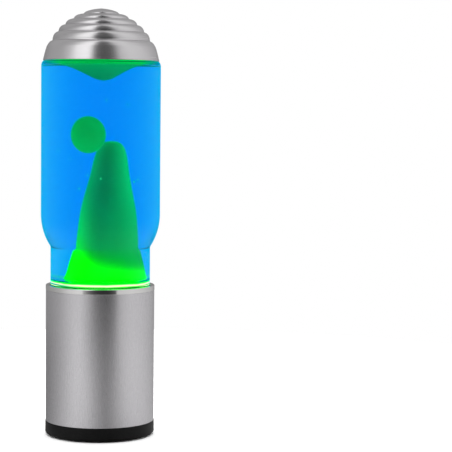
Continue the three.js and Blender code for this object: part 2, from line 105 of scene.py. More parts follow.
def mesh_from(name, verts, faces):
    mesh = bpy.data.meshes.new(name)
    mesh.from_pydata([Vector(v) * MM for v in verts], [], faces)
    bm = bmesh.new()
    bm.from_mesh(mesh)
    bmesh.ops.remove_doubles(bm, verts=bm.verts, dist=1e-7)
    bmesh.ops.recalc_face_normals(bm, faces=bm.faces)
    bm.to_mesh(mesh)
    bm.free()
    return mesh


def supported(profile):
    """Adds a point close to each end of a long flat stretch that runs into a fillet, so that it shades flat."""
    near = 0.06
    lengths = [math.dist(a, b) for a, b in zip(profile, profile[1:] + profile[:1])]
    points = []
    for i, ((r, z), (next_r, next_z), length) in enumerate(zip(profile, profile[1:] + profile[:1], lengths)):
        points.append((r, z))
        if length < 1 or (i == len(profile) - 1 and r == next_r == 0):
            continue
        if 0 < lengths[i - 1] < 0.3 * length and r > 0:
            points.append((r + (next_r - r) * near / length, z + (next_z - z) * near / length))
        if 0 < lengths[(i + 1) % len(lengths)] < 0.3 * length and next_r > 0:
            points.append((next_r + (r - next_r) * near / length, next_z + (z - next_z) * near / length))
    return points


def lathe_mesh(name, profile, sides=128, shape=None):
    """A closed body of revolution. shape(x, y, z, angle) may move each point."""
    profile = supported(profile)
    closed = profile[0][0] > 0 or profile[-1][0] > 0
    verts, rings = [], []
    for r, z in profile:
        if r < 1e-6:
            rings.append([len(verts)] * sides)
            verts.append((0, 0, z))
            continue
        rings.append(range(len(verts), len(verts) + sides))
        for i in range(sides):
            a = TAU * i / sides
            verts.append((r * math.cos(a), r * math.sin(a), z))
    if shape:
        verts = [shape(x, y, z, math.atan2(y, x)) for x, y, z in verts]
    pairs = list(zip(rings, rings[1:] + rings[:1])) if closed else list(zip(rings, rings[1:]))
    faces = []
    for low, high in pairs:
        for i in range(sides):
            j = (i + 1) % sides
            corners = [low[i], low[j], high[j], high[i]]
            face = tuple(dict.fromkeys(corners))
            if len(face) > 2:
                faces.append(face)
    return mesh_from(name, verts, faces)


def lathe(name, profile, material, body, *replaced, sides=128, shape=None, sharp=35, slot=None, at=None):
    mesh = lathe_mesh(name, profile, sides, shape)
    if at:
        mesh.transform(at)
    return add_object(name, mesh, material, body, *replaced, sharp=sharp, slot=slot)


def prism_mesh(name, outline, low, high):
    """An outline in X and Y, drawn out from z = low to z = high."""
    count = len(outline)
    verts = [(x, y, z) for z in (low, high) for x, y in outline]
    sides = [(i, (i + 1) % count, count + (i + 1) % count, count + i) for i in range(count)]
    return mesh_from(name, verts, [tuple(range(count)), tuple(range(count, 2 * count)), *sides])


def sheet_mesh(name, outline, half_width):
    """An outline in X and Z, as wide as half_width each side of Y = 0."""
    mesh = prism_mesh(name, outline, -half_width, half_width)
    mesh.transform(Matrix.Rotation(math.pi / 2, 4, "X"))
    return mesh


def tube_mesh(name, points, radius, sides=8):
    """A round wire through the points."""
    points = [Vector(p) for p in points]
    verts, faces = [], []
    across = None
    for i, point in enumerate(points):
        along = (points[min(i + 1, len(points) - 1)] - points[max(i - 1, 0)]).normalized()
        if across is None:
            across = along.orthogonal()
        across = (across - along * across.dot(along)).normalized()
        other = along.cross(across)
        for k in range(sides):
            a = TAU * k / sides
            verts.append(point + (across * math.cos(a) + other * math.sin(a)) * radius)
    for i in range(len(points) - 1):
        for k in range(sides):
            j = (k + 1) % sides
            faces.append((i * sides + k, i * sides + j, (i + 1) * sides + j, (i + 1) * sides + k))
    faces.append(tuple(range(sides)))
    faces.append(tuple(range(len(verts) - sides, len(verts))))
    return mesh_from(name, verts, faces)


def circle(radius, sides, x=0.0, y=0.0):
    return [(x + radius * math.cos(TAU * i / sides), y + radius * math.sin(TAU * i / sides)) for i in range(sides)]


def slot_outline(start, end, half):
    """A slot with round ends along X, from x = start to x = end."""
    return [*arc(end - half, 0, half, -90, 90, 10), *arc(start + half, 0, half, 90, 270, 10)]


def hole_mesh(radius, low, high, x=0.0, y=0.0, sides=40):
    return prism_mesh("hole", circle(radius, sides, x, y), low, high)


def block_mesh(x, y, z):
    (x0, x1), (y0, y1) = x, y
    return prism_mesh("block", [(x0, y0), (x1, y0), (x1, y1), (x0, y1)], *z)


def turned(mesh, degrees, axis="Z"):
    mesh.transform(Matrix.Rotation(math.radians(degrees), 4, axis))
    return mesh


def moved(mesh, x, y, z):
    mesh.transform(place(x, y, z))
    return mesh


def polar(radius, degrees):
    return radius * math.cos(math.radians(degrees)), radius * math.sin(math.radians(degrees))


def place(x, y, z, turn=None):
    return Matrix.Translation(Vector((x, y, z)) * MM) @ (turn or Matrix.Identity(4))


def cut(obj, *meshes, operation="DIFFERENCE"):
    """Takes the closed meshes away from the object's own mesh, or joins them to it."""
    for mesh in meshes:
        tool = bpy.data.objects.new("tool", mesh)
        bpy.context.scene.collection.objects.link(tool)
        modifier = obj.modifiers.new("cut", "BOOLEAN")
        modifier.operation = operation
        modifier.solver = "EXACT"
        modifier.object = tool
        depsgraph = bpy.context.evaluated_depsgraph_get()
        result = bpy.data.meshes.new_from_object(obj.evaluated_get(depsgraph))
        obj.modifiers.clear()
        obj.data = result
        bpy.data.objects.remove(tool)
    obj.data.shade_smooth()
    obj.data.set_sharp_from_angle(angle=math.radians(35))
    return obj


# ------------------------------ material helpers
class Nodes:
    """A short way to write the node tree of a new material, or of a new world."""

    def __init__(self, name, library=bpy.data.materials):
        self.owner = library.new(name)
        self.owner.use_nodes = True
        self.tree = self.owner.node_tree
        self.shader = self.tree.nodes.get("Principled BSDF")

    def add(self, kind, inputs=(), **settings):
        node = self.tree.nodes.new(kind)
        for key, value in settings.items():
            setattr(node, key, value)
        for key, value in dict(inputs).items():
            self.set(node, key, value)
        return node

    def set(self, node, key, value):
        if isinstance(value, bpy.types.NodeSocket):
            self.tree.links.new(value, node.inputs[key])
        else:
            node.inputs[key].default_value = value

    def math(self, operation, *values):
        node = self.add("ShaderNodeMath", operation=operation)
        for i, value in enumerate(values):
            self.set(node, i, value)
        return node.outputs[0]

    def position(self):
        return self.add("ShaderNodeTexCoord").outputs["Object"]

    def scaled(self, vector, scale):
        return self.add("ShaderNodeMapping", {"Vector": vector, "Scale": scale}).outputs[0]

    def noise(self, vector, scale, detail=3.0, roughness=0.5):
        inputs = {"Vector": vector, "Scale": scale, "Detail": detail, "Roughness": roughness}
        return self.add("ShaderNodeTexNoise", inputs).outputs["Fac"]

    def ramp(self, value, stops):
        node = self.add("ShaderNodeValToRGB", {"Fac": value})
        elements = node.color_ramp.elements
        while len(elements) < len(stops):
            elements.new(0.5)
        for element, (at, colour) in zip(elements, stops):
            element.position = at
            element.color = (*colour, 1)
        return node.outputs["Color"]

    def span(self, value, low, high, to_low=0.0, to_high=1.0):
        inputs = {"Value": value, "From Min": low, "From Max": high, "To Min": to_low, "To Max": to_high}
        return self.add("ShaderNodeMapRange", inputs).outputs[0]

    def band(self, value, rise, fall):
        """1 between two slopes and 0 outside them, where rise and fall are each a pair of values."""
        return self.math("MULTIPLY", self.span(value, *rise), self.span(value, *fall, 1.0, 0.0))

    def mix(self, factor, first, second, blend="MIX"):
        """Two colours, or a colour from a node and another, mixed by a factor."""
        node = self.add("ShaderNodeMix", data_type="RGBA", blend_type=blend)
        self.set(node, 0, factor)
        for socket, colour in ((6, first), (7, second)):
            self.set(node, socket, (*colour, 1.0) if isinstance(colour, tuple) else colour)
        return node.outputs[2]

    def bump(self, height, strength, distance):
        inputs = {"Height": height, "Strength": strength, "Distance": distance}
        self.set(self.shader, "Normal", self.add("ShaderNodeBump", inputs).outputs[0])

    def finish(self, **sockets):
        for key, value in sockets.items():
            self.set(self.shader, key.replace("_", " "), value)
        return self.owner


def grey(value):
    return (value, value, value)


def cylinder_grain(n, across, along):
    """Coordinates that wrap round the lamp's axis: x = angle, z = height, for grain on a tube."""
    xyz = n.add("ShaderNodeSeparateXYZ", {"Vector": n.position()})
    angle = n.math("ARCTAN2", xyz.outputs["Y"], xyz.outputs["X"])
    inputs = {"X": n.math("MULTIPLY", angle, across), "Z": n.math("MULTIPLY", xyz.outputs["Z"], along)}
    return n.add("ShaderNodeCombineXYZ", inputs).outputs[0]


def satin_metal():
    """Aluminium brushed along the tube: fine upright grain, a little uneven."""
    n = Nodes("satin_aluminium")
    grain = n.noise(cylinder_grain(n, 60.0, 18.0), 5.0, 6.0, 0.7)
    cloud = n.noise(n.scaled(n.position(), (22, 22, 9)), 1.0, 2.0)
    mixed = n.math("ADD", n.math("MULTIPLY", grain, 0.7), n.math("MULTIPLY", cloud, 0.3))
    colour = n.ramp(mixed, [(0.3, (0.65, 0.635, 0.66)), (0.7, (0.75, 0.735, 0.76))])
    n.bump(grain, 0.05, 0.0002)
    return n.finish(Base_Color=colour, Metallic=1.0, Roughness=n.span(grain, 0.3, 0.7, 0.24, 0.33))


def polished_metal():
    """The collar: turned, then polished, with the faintest rings left."""
    n = Nodes("polished_aluminium")
    rings = n.noise(cylinder_grain(n, 0.6, 5200.0), 1.0, 3.0)
    smudge = n.noise(n.position(), 60.0, 3.0)
    colour = n.ramp(smudge, [(0.3, (0.80, 0.79, 0.78)), (0.7, (0.86, 0.855, 0.85))])
    n.bump(rings, 0.03, 0.0001)
    return n.finish(Base_Color=colour, Metallic=1.0, Roughness=n.span(smudge, 0.3, 0.7, 0.07, 0.13))


def cap_metal():
    """The spun cap: fine turning lines and a soft shine."""
    n = Nodes("spun_aluminium")
    rings = n.noise(cylinder_grain(n, 0.8, 3800.0), 1.0, 4.0, 0.6)
    smudge = n.noise(n.position(), 45.0, 3.0)
    colour = n.ramp(smudge, [(0.3, (0.70, 0.685, 0.70)), (0.7, (0.78, 0.765, 0.78))])
    n.bump(rings, 0.06, 0.00015)
    return n.finish(Base_Color=colour, Metallic=1.0, Roughness=n.span(rings, 0.3, 0.7, 0.2, 0.28))


def plain_metal(name, low, high, roughness, scale=400.0):
    n = Nodes(name)
    mottle = n.noise(n.position(), scale, 4.0)
    n.bump(mottle, 0.05, 0.0001)
    spread = n.span(mottle, 0.3, 0.7, roughness - 0.06, roughness + 0.06)
    return n.finish(Base_Color=n.ramp(mottle, [(0.3, low), (0.7, high)]), Metallic=1.0, Roughness=spread)


def moulded(name, low, high, roughness, grain=2200.0, strength=0.15, shine=0.5):
    """Moulded plastic, rubber or ceramic with a fine surface texture."""
    n = Nodes(name)
    fine = n.noise(n.position(), grain, 3.0)
    broad = n.noise(n.position(), 70.0, 2.0)
    n.bump(fine, strength, 0.0002)
    colour = n.ramp(broad, [(0.35, low), (0.65, high)])
    spread = n.span(fine, 0.3, 0.7, roughness - 0.05, roughness + 0.07)
    return n.finish(Base_Color=colour, Roughness=spread, Specular_IOR_Level=shine)


GLASS_IOR, LIQUID_IOR = 1.5, 1.34
FAINT_SHINE = (0.06, 0.06, 0.06, 1.0)  # how much of its face-on reflection the clear glass keeps


def clear_glass():
    """Glass whose tint is a little uneven, as a blown bottle's is."""
    n = Nodes("clear_glass")
    wave = n.noise(n.scaled(n.position(), (1, 1, 0.35)), 28.0, 2.0)
    colour = n.ramp(wave, [(0.3, (0.96, 0.985, 0.98)), (0.7, (1.0, 1.0, 1.0))])
    return n.finish(
        Base_Color=colour, Roughness=0.0, IOR=GLASS_IOR, Transmission_Weight=1.0, Specular_Tint=FAINT_SHINE)


def reflector_glass():
    """A reflector bulb: silvered inside below its widest part, and a frosted face above it that glows."""
    n = Nodes("bulb_glass")
    height = n.add("ShaderNodeSeparateXYZ", {"Vector": n.position()}).outputs["Z"]
    cloud = n.noise(n.position(), 150.0, 3.0)
    face = n.span(n.math("MULTIPLY_ADD", cloud, 0.0012, height), 0.0885, 0.0898)
    n.bump(n.noise(n.position(), 3500.0, 2.0), 0.06, 0.0001)
    glow = n.ramp(n.span(height, 0.088, 0.103), [(0.0, (0.5, 0.3, 0.12)), (1.0, (2.6, 2.2, 1.6))])
    lit = n.mix(face, grey(0.0), glow)
    metal = n.span(face, 0.0, 1.0, 1.0, 0.0)
    return n.finish(
        Base_Color=n.ramp(cloud, [(0.3, (0.78, 0.77, 0.74)), (0.7, (0.86, 0.85, 0.82))]), Metallic=metal,
        Roughness=n.span(face, 0.0, 1.0, 0.1, 0.5), Emission_Color=lit, Emission_Strength=1.0)


LIQUID_ABSORBS = (0.0, 0.870, 0.997, 1.0)
LIQUID_DENSITY = 120.0


def blue_liquid():
    """Dyed liquid: clear, and bluer the deeper it is looked through."""
    n = Nodes("blue_liquid")
    swirl = n.noise(n.scaled(n.position(), (1, 1, 0.5)), 30.0, 2.0)
    colour = n.ramp(swirl, [(0.3, (0.97, 0.99, 1.0)), (0.7, (1.0, 1.0, 1.0))])
    volume = n.add("ShaderNodeVolumeAbsorption", {"Color": LIQUID_ABSORBS, "Density": LIQUID_DENSITY})
    n.set(n.tree.nodes["Material Output"], "Volume", volume.outputs[0])
    return n.finish(
        Base_Color=colour, Roughness=0.0, IOR=LIQUID_IOR, Transmission_Weight=1.0, Specular_Tint=FAINT_SHINE)


# heights where the wax's painted light and shade change, metres
COLUMN_FOOT, COLUMN_CLEAR = 0.122, 0.132  # the column leaves the pool
GLOW_LOW, GLOW_HIGH = 0.116, 0.236  # the ends of a glow ramp
BRIGHT_TOP, BRIGHT_END = 0.138, 0.19  # the part of the column where the painted glow of the bulb's light from below lies
HEEL_TOP = (0.1182, 0.1188)  # the pool's lowest edge
LIP = (0.1203, 0.1206), (0.1213, 0.1214)  # the painted shadow line where the pool meets the glass
SURFACE_END = (0.1215, 0.122)  # nothing above here is the pool's surface
WALL_BAND = (0.283, 0.286), (0.2885, 0.2895)  # painted shade on the top wax, where the bottle's corner bends it
FRONT_TO_BACK = (0.225, 0.974)  # X and Y of the level line that the painted rim light at the sides is measured from

# emission colours painted on the wax: a dim painted shadow at the lip, painted blue light beside the column, and
# painted shade on the top wax at the wall
LIP_SHADOW, PAINTED_BLUE_LIGHT, WALL_SHADE = (0.0, 0.03, 0.05), (0.0, 0.16, 0.34), (0.0, 0.08, 0.2)
# the base colour of the painted shade at the lip and at the wall
SHADE_TEAL = (0.0, 0.3, 0.36)


def green_wax(name, glow, rim_light):
    """Green wax whose light is painted as emission: a painted glow, brightest where the bulb's light would enter it,
    and a painted rim light at its sides.
    """
    n = Nodes(name)
    xyz = n.add("ShaderNodeSeparateXYZ", {"Vector": n.position()}).outputs
    normal = n.add("ShaderNodeSeparateXYZ", {"Vector": n.add("ShaderNodeTexCoord").outputs["Normal"]}).outputs
    x, z = xyz["X"], xyz["Z"]
    above_pool = n.span(z, COLUMN_FOOT, COLUMN_CLEAR)
    low = n.span(z, BRIGHT_TOP, BRIGHT_END, 1.0, 0.0)
    left = n.math("MAXIMUM", n.math("MULTIPLY", normal["X"], -1.0), 0.0)

    # the painted glow reaches higher towards the left, with a slow ripple
    cloud = n.noise(n.position(), 60.0, 3.0)
    lean = n.math("MULTIPLY_ADD", x, 0.3, n.span(cloud, 0.2, 0.8, -0.002, 0.002))
    ripple = n.span(n.noise(n.position(), 70.0, 2.0), 0.25, 0.75, -0.0005, 0.0005)
    leaning = n.math("MULTIPLY_ADD", lean, above_pool, ripple)
    climb = n.math("MULTIPLY", n.math("POWER", left, 3.0), n.math("MULTIPLY", above_pool, -0.009))
    level = n.math("ADD", n.math("ADD", leaning, climb), z)
    height = n.span(n.math("MAXIMUM", level, n.math("MINIMUM", z, COLUMN_FOOT)), GLOW_LOW, GLOW_HIGH)

    # painted rim light at the sides, standing in for studio light: stronger low on the left, weaker low on the right
    across, along = FRONT_TO_BACK
    facing = n.math("MULTIPLY_ADD", normal["X"], across, n.math("MULTIPLY", normal["Y"], along))
    sideways = n.math("POWER", n.math("SUBTRACT", 1.0, n.math("ABSOLUTE", facing)), 0.75)
    right_low = n.math("MULTIPLY", n.span(normal["X"], -0.1, 0.2, 0.0, 0.75), low)
    edges = n.math("MULTIPLY", sideways, n.math("SUBTRACT", 1.0, right_low))
    edges = n.math("MULTIPLY_ADD", n.math("POWER", left, 4.0), low, edges)
    left_low = n.math("MULTIPLY", n.span(left, 0.0, 0.5), low)
    green = n.mix(left_low, (0.0, rim_light, 0.14 * rim_light), (0.0, rim_light, 0.0))
    rim = n.mix(n.math("MULTIPLY", edges, above_pool), n.ramp(height, glow), green, "ADD")

    # painted blue light on the pool's top beside the column and low at its left, a painted shadow line at the lip,
    # and painted shade on the top wax at the wall
    beside = n.span(n.math("ABSOLUTE", n.math("SUBTRACT", x, 0.003)), 0.0235, 0.027)
    low_left = n.math("MULTIPLY", n.span(x, -0.032, -0.012, 1.0, 0.0), n.span(z, *HEEL_TOP, 1.0, 0.0))
    flat = n.math("MULTIPLY", n.span(normal["Z"], 0.9, 0.99), n.span(z, *SURFACE_END, 1.0, 0.0))
    blue = n.math("MAXIMUM", low_left, n.math("MULTIPLY", flat, beside))
    lip = n.math("MULTIPLY", n.band(z, *LIP), beside)
    lip = n.math("MULTIPLY", lip, n.math("SUBTRACT", 1.0, flat))
    wall_shade_mask = n.math("MULTIPLY", n.span(n.math("ABSOLUTE", x), 0.03, 0.042), n.band(z, *WALL_BAND))
    light = n.mix(wall_shade_mask, n.mix(lip, n.mix(blue, rim, PAINTED_BLUE_LIGHT), LIP_SHADOW), WALL_SHADE)

    pale = n.ramp(cloud, [(0.3, (0.0, 0.74, 0.14)), (0.7, (0.0, 0.82, 0.17))])
    deep = n.ramp(height, [(0.15, (0.1, 1.0, 0.0)), (0.28, (1.0, 1.0, 1.0))])
    # base colour: a purer green low down, and painted teal shade at the lip and at the wall
    body = n.mix(n.math("MAXIMUM", lip, wall_shade_mask), n.mix(1.0, pale, deep, "MULTIPLY"), SHADE_TEAL)
    n.bump(n.noise(n.position(), 260.0, 3.0), 0.05, 0.0004)
    return n.finish(
        Base_Color=body, Roughness=0.5, Specular_IOR_Level=0.0, Coat_Weight=flat, Coat_Roughness=0.06,
        Emission_Color=light, Emission_Strength=1.0)


def even_glow(colour):
    return [(0.0, colour), (1.0, colour)]


# the painted glow that stands in for the bulb's light, with a painted white line of light round the pool's side
WAX_GLOW = [  # from the pool's underside up the column
    (0.0, (0.0, 0.7, 0.02)), (0.015, (0.0, 1.1, 0.02)), (0.0195, (1.3, 1.3, 0.7)), (0.0255, (1.4, 1.4, 0.9)),
    (0.0295, (0.0, 1.2, 0.03)), (0.045, (0.0, 1.2, 0.0)), (0.11, (0.0, 1.4, 0.0)), (0.15, (0.0, 0.75, 0.0)),
    (0.19, (0.0, 0.34, 0.01)), (0.2275, (0.0, 0.24, 0.01)), (0.361, (0.0, 0.17, 0.02)),
    (0.561, (0.0, 0.105, 0.02)), (0.83, (0.0, 0.14, 0.02)), (1.0, (0.0, 0.15, 0.02)),
]
# the top wax, the ball and the specks glow evenly: painted light
FREE_GLOW = even_glow((0.0, 0.18, 0.035))
DROPLET_GLOW = even_glow((0.0, 0.42, 0.16))

MAT = {
    "tube": satin_metal(),
    "collar": polished_metal(),
    "cap": cap_metal(),
    "steel": plain_metal("plated_steel", (0.55, 0.55, 0.56), (0.66, 0.66, 0.67), 0.3),
    "brass": plain_metal("brass", (0.66, 0.47, 0.2), (0.78, 0.58, 0.27), 0.3),
    "tungsten": plain_metal("filament_metal", (0.3, 0.3, 0.3), (0.4, 0.4, 0.4), 0.4),
    "plastic": moulded("black_plastic", grey(0.003), grey(0.005), 0.4, shine=0.15),
    "rubber": moulded("rubber", grey(0.012), grey(0.02), 0.8, 900.0, 0.3),
    "silicone": moulded("silicone", (0.5, 0.5, 0.47), (0.58, 0.58, 0.55), 0.55, 700.0),
    "phenolic": moulded("brown_phenolic", (0.018, 0.012, 0.009), (0.035, 0.022, 0.016), 0.35, 300.0),
    "porcelain": moulded("porcelain", (0.78, 0.77, 0.72), (0.86, 0.85, 0.8), 0.3, 300.0, 0.05),
    "liner": moulded("liner", (0.72, 0.68, 0.58), (0.8, 0.76, 0.66), 0.7, 600.0),
    "glass": clear_glass(),
    "bulb_glass": reflector_glass(),
    "black_glass": moulded("black_glass", grey(0.006), grey(0.012), 0.1, 200.0, 0.02),
    "liquid": blue_liquid(),
    "wax": green_wax("green_wax", WAX_GLOW, 0.7),
    "free_wax": green_wax("green_wax_free", FREE_GLOW, 0.22),
    "droplet": green_wax("wax_droplet", DROPLET_GLOW, 0.1),
}


# ------------------------------ base
def base_tube():
    inner = TUBE_R - TUBE_WALL
    bevel = 0.15
    profile = [
        (inner, TUBE_BOTTOM), (TUBE_R - bevel, TUBE_BOTTOM), (TUBE_R, TUBE_BOTTOM + bevel),
        (TUBE_R, TUBE_TOP - bevel), (TUBE_R - bevel, TUBE_TOP), (inner, TUBE_TOP),
    ]
    tube = lathe("tube_skin", profile, MAT["tube"], "base", "base_tube", sides=256, slot="satin_aluminium")
    inlet = moved(turned(hole_mesh(INLET_SHANK + 0.3, 30, 50, sides=64), -90, "X"), 0, 0, INLET_Z)
    cut(tube, inlet)


def top_collar():
    edge = 0.5
    profile = [
        (COLLAR_R - 0.12, TUBE_TOP + 0.02), (COLLAR_R, TUBE_TOP + 0.2),
        *arc(COLLAR_R - edge, COLLAR_TOP - edge, edge, 0, 90, 8),
        *arc(COLLAR_OPENING + 0.3, COLLAR_TOP - 0.3, 0.3, 90, 180, 5),
        (COLLAR_OPENING, COLLAR_LEDGE), (34.0, COLLAR_LEDGE), (34.0, COLLAR_BOTTOM),
        (40.7, COLLAR_BOTTOM), (40.7, TUBE_TOP + 0.02),
    ]
    lathe("collar_ring", profile, MAT["collar"], "base", "top_collar", sides=256, slot="polished_aluminium")


def seat_gasket():
    inner, outer = 34.2, COLLAR_OPENING - 0.3
    profile = [
        (inner, COLLAR_LEDGE), (outer, COLLAR_LEDGE), *arc(outer - 1, GLASS_BOTTOM - 1, 1, 0, 90, 6),
        (37.4, GLASS_BOTTOM), (37.0, GLASS_BOTTOM - 0.5), (36.2, GLASS_BOTTOM - 0.5), (35.8, GLASS_BOTTOM),
        (inner, GLASS_BOTTOM),
    ]
    lathe("seat_ring", profile, MAT["silicone"], "base", "seat_gasket", sides=160, slot="silicone")


def foot_ring():
    profile = [
        (38.0, FOOT_BOTTOM), *arc(FOOT_R - 1.9, FOOT_BOTTOM + 1.9, 1.9, -90, 0, 10),
        *arc(FOOT_R - 0.25, TUBE_BOTTOM - 0.3, 0.25, 0, 90, 4), (40.7, TUBE_BOTTOM - 0.05),
        (40.7, 16.0), (38.8, 16.0), (38.8, 5.2), (34.5, 5.2), (34.5, 3.2), (38.0, 3.2),
    ]
    ring = lathe("foot_moulding", profile, MAT["plastic"], "base", "foot_ring", sides=256, slot="black_plastic")
    bosses = [hole_mesh(3.4, 3.2, 12, *polar(COVER_SCREW_CIRCLE, angle)) for angle in COVER_SCREW_ANGLES]
    cut(ring, *bosses, operation="UNION")
    cut(ring, *[hole_mesh(SCREW_HOLE_R, 2, 10.5, *polar(COVER_SCREW_CIRCLE, angle)) for angle in COVER_SCREW_ANGLES])


def bottom_cover():
    profile = [
        (0, FOOT_BOTTOM), *arc(COVER_R - 0.4, FOOT_BOTTOM + 0.4, 0.4, -90, 0, 4),
        *arc(COVER_R - 0.3, COVER_TOP - 0.3, 0.3, 0, 90, 3), (0, COVER_TOP),
    ]
    cover = lathe("cover_plate", profile, MAT["plastic"], "base", "bottom_cover", sides=160, slot="black_plastic")
    vents = [turned(prism_mesh("vent", slot_outline(12, 24, 1.3), -1, 5), angle)
             for angle in (60, 90, 120, 240, 270, 300)]
    recesses = [hole_mesh(4.8, -1, 1.4, *polar(FEET_CIRCLE, angle)) for angle in FOOT_ANGLES]
    screws = [*[polar(COVER_SCREW_CIRCLE, angle) for angle in COVER_SCREW_ANGLES], *[(x, 0) for x in BRIDGE_SCREW_X]]
    counterbores = [hole_mesh(3.1, -1, COUNTERBORE_TOP, *at) for at in screws]
    cut(cover, *vents, *recesses, *counterbores, *[hole_mesh(SCREW_HOLE_R, -1, 5, *at) for at in screws])


def cross_screw(name, length, x, y, node):
    """A pan-head screw that points up, its head's bearing face at the counterbore's floor."""
    shank = 1.3
    thread = []
    for i in range(int((length - 1.4) / 0.5)):
        thread += [(shank - 0.14, 0.3 + 0.5 * i), (shank, 0.55 + 0.5 * i)]
    profile = [
        (0, -1.05), (1.6, -1.02), (2.3, -0.85), (2.62, -0.55), (2.7, -0.2), (2.65, 0), (shank, 0),
        *thread, (shank - 0.1, length - 1), (0.3, length), (0, length),
    ]
    screw = lathe(name, profile, MAT["steel"], "base", node, sides=48, slot="plated_steel")
    recess = [block_mesh((-1.4, 1.4), (-0.27, 0.27), (-2, -0.5)), block_mesh((-0.27, 0.27), (-1.4, 1.4), (-2, -0.5))]
    cut(screw, *recess)
    left_at = 17 * (x + y)  # each screw stopped at an angle of its own
    screw.data.transform(place(x, y, COUNTERBORE_TOP, Matrix.Rotation(math.radians(left_at), 4, "Z")))


def inlet_bush():
    profile = [
        (3.6, 37.6), (4.6, 37.6), (5.8, 39), (5.8, 40.2), (INLET_SHANK, 40.3), (INLET_SHANK, 42.1), (6.5, 42.15),
        *arc(5.6, 43.4, 0.9, 0, 90, 6), *arc(4.3, 43.6, 0.7, 90, 180, 5),
    ]
    turn = Matrix.Rotation(-math.pi / 2, 4, "X")
    lathe("cord_bush", profile, MAT["plastic"], "base", "inlet_bush", sides=64, slot="black_plastic",
          at=place(0, 0, INLET_Z, turn))


def rubber_foot(index, angle):
    x, y = polar(FEET_CIRCLE, angle)
    profile = [
        (0, 0.12), (1.6, 0.12), (2.0, 0), *arc(4.5 - 0.5, 0.5, 0.5, -90, 0, 5), (4.5, 1.4), (0, 1.4),
    ]
    lathe(f"foot_pad_{index}", profile, MAT["rubber"], "base", f"rubber_foot_{index}", sides=48, slot="rubber",
          at=place(x, y, 0))


def base_housing():
    base_tube()
    top_collar()
    seat_gasket()
    foot_ring()
    bottom_cover()
    inlet_bush()
    for index, angle in enumerate(COVER_SCREW_ANGLES, 1):
        cross_screw(f"plate_screw_{index}", 7.5, *polar(COVER_SCREW_CIRCLE, angle), f"cover_screw_{index}")
    for index, x in enumerate(BRIDGE_SCREW_X, 1):
        cross_screw(f"bridge_screw_{index}", 5, x, 0, f"bracket_screw_{index}")
    for index, angle in enumerate(FOOT_ANGLES, 1):
        rubber_foot(index, angle)


# ------------------------------ lamp holder
NIPPLE_HOLE_R = 5.3
NUT_LOW, NUT_HIGH, NUT_ACROSS_FLATS = 9.6, 13.0, 14


def bend(x, z, radius, start, end):
    return arc(x, z, radius, start, end, 6)


def holder_bracket():
    foot, top, sheet, leg, half = 3.2, 14.2, 1.2, 16, 27
    inner, outer = 0.6, 0.6 + sheet
    outline = [
        (-half, foot), (-leg + sheet, foot), *bend(-leg + sheet + inner, top - sheet - inner, inner, 180, 90),
        *bend(leg - sheet - inner, top - sheet - inner, inner, 90, 0), (leg - sheet, foot),
        (half, foot), (half, foot + sheet), *bend(leg + inner, foot + sheet + inner, inner, 270, 180),
        *bend(leg - outer, top - outer, outer, 0, 90), *bend(-leg + outer, top - outer, outer, 90, 180),
        *bend(-leg - inner, foot + sheet + inner, inner, 0, -90), (-half, foot + sheet),
    ]
    mesh = sheet_mesh("holder_bridge", outline, 8)
    bridge = add_object("holder_bridge", mesh, MAT["steel"], "base", "holder_bracket", slot="plated_steel")
    cut(bridge, hole_mesh(NIPPLE_HOLE_R, 10, 18), *[hole_mesh(SCREW_HOLE_R, 0, 8, x) for x in BRIDGE_SCREW_X])


def holder_nut():
    hexagon = prism_mesh("lock_nut", circle(NUT_ACROSS_FLATS / math.sqrt(3), 6), NUT_LOW, NUT_HIGH)
    nut = add_object("lock_nut", hexagon, MAT["brass"], "base", "holder_nut", slot="brass")
    cut(nut, hole_mesh(NIPPLE_HOLE_R, 8, 14))
    chamfered = [(0, NUT_LOW), (7.0, NUT_LOW), (8.3, NUT_LOW + 0.7), (8.3, NUT_HIGH - 0.7), (7.0, NUT_HIGH),
                 (0, NUT_HIGH)]
    cut(nut, lathe_mesh("chamfer", chamfered, 64), operation="INTERSECT")


def holder_nipple():
    ridges = []
    for i in range(14):
        ridges += [(4.75, 8.9 + 0.8 * i), (5.0, 9.3 + 0.8 * i)]
    profile = [(3.5, 8.6), (4.7, 8.6), *ridges, (4.75, 20.5), (3.5, 20.5)]
    lathe("threaded_nipple", profile, MAT["brass"], "base", "holder_nipple", sides=64, slot="brass")


def ribbed(count, depth, low, high, beyond):
    """Fine upright grip ribs round the outside between two heights."""
    def shape(x, y, z, angle):
        if math.hypot(x, y) < beyond or not low < z < high:
            return x, y, z
        scale = 1 - depth * (0.5 + 0.5 * math.cos(count * angle))
        return x * scale, y * scale, z
    return shape


def holder_shells():
    cap = [
        (NIPPLE_HOLE_R, 14.2), *arc(12.6, 15.8, 1.6, -90, 0, 8), (14.2, 17.0), (14.2, 17.2), (14.2, 28.8),
        (14.2, 29.0), (14.2, 29.7), (13.9, 30), (12.4, 30), (12.4, 24), (10.2, 24), (10.2, 18.4),
        (NIPPLE_HOLE_R, 18.4),
    ]
    lathe("socket_cap", cap, MAT["phenolic"], "base", "holder_cap", sides=288, slot="brown_phenolic",
          shape=ribbed(36, 0.02, 17.1, 28.9, 13.9))
    sleeve = [
        (11.8, 30), (13.3, 30), (13.6, 30.3), (13.6, 31.5), (13.2, 32), (13.2, 33), (13.6, 33.5), (13.6, 57),
        *arc(12.8, 57.2, 0.8, 0, 90, 6), *arc(9.5, 57.5, 0.5, 90, 180, 4), (9, 56.8), (11.8, 56.8),
    ]
    lathe("socket_sleeve", sleeve, MAT["phenolic"], "base", "holder_sleeve", sides=128, slot="brown_phenolic")


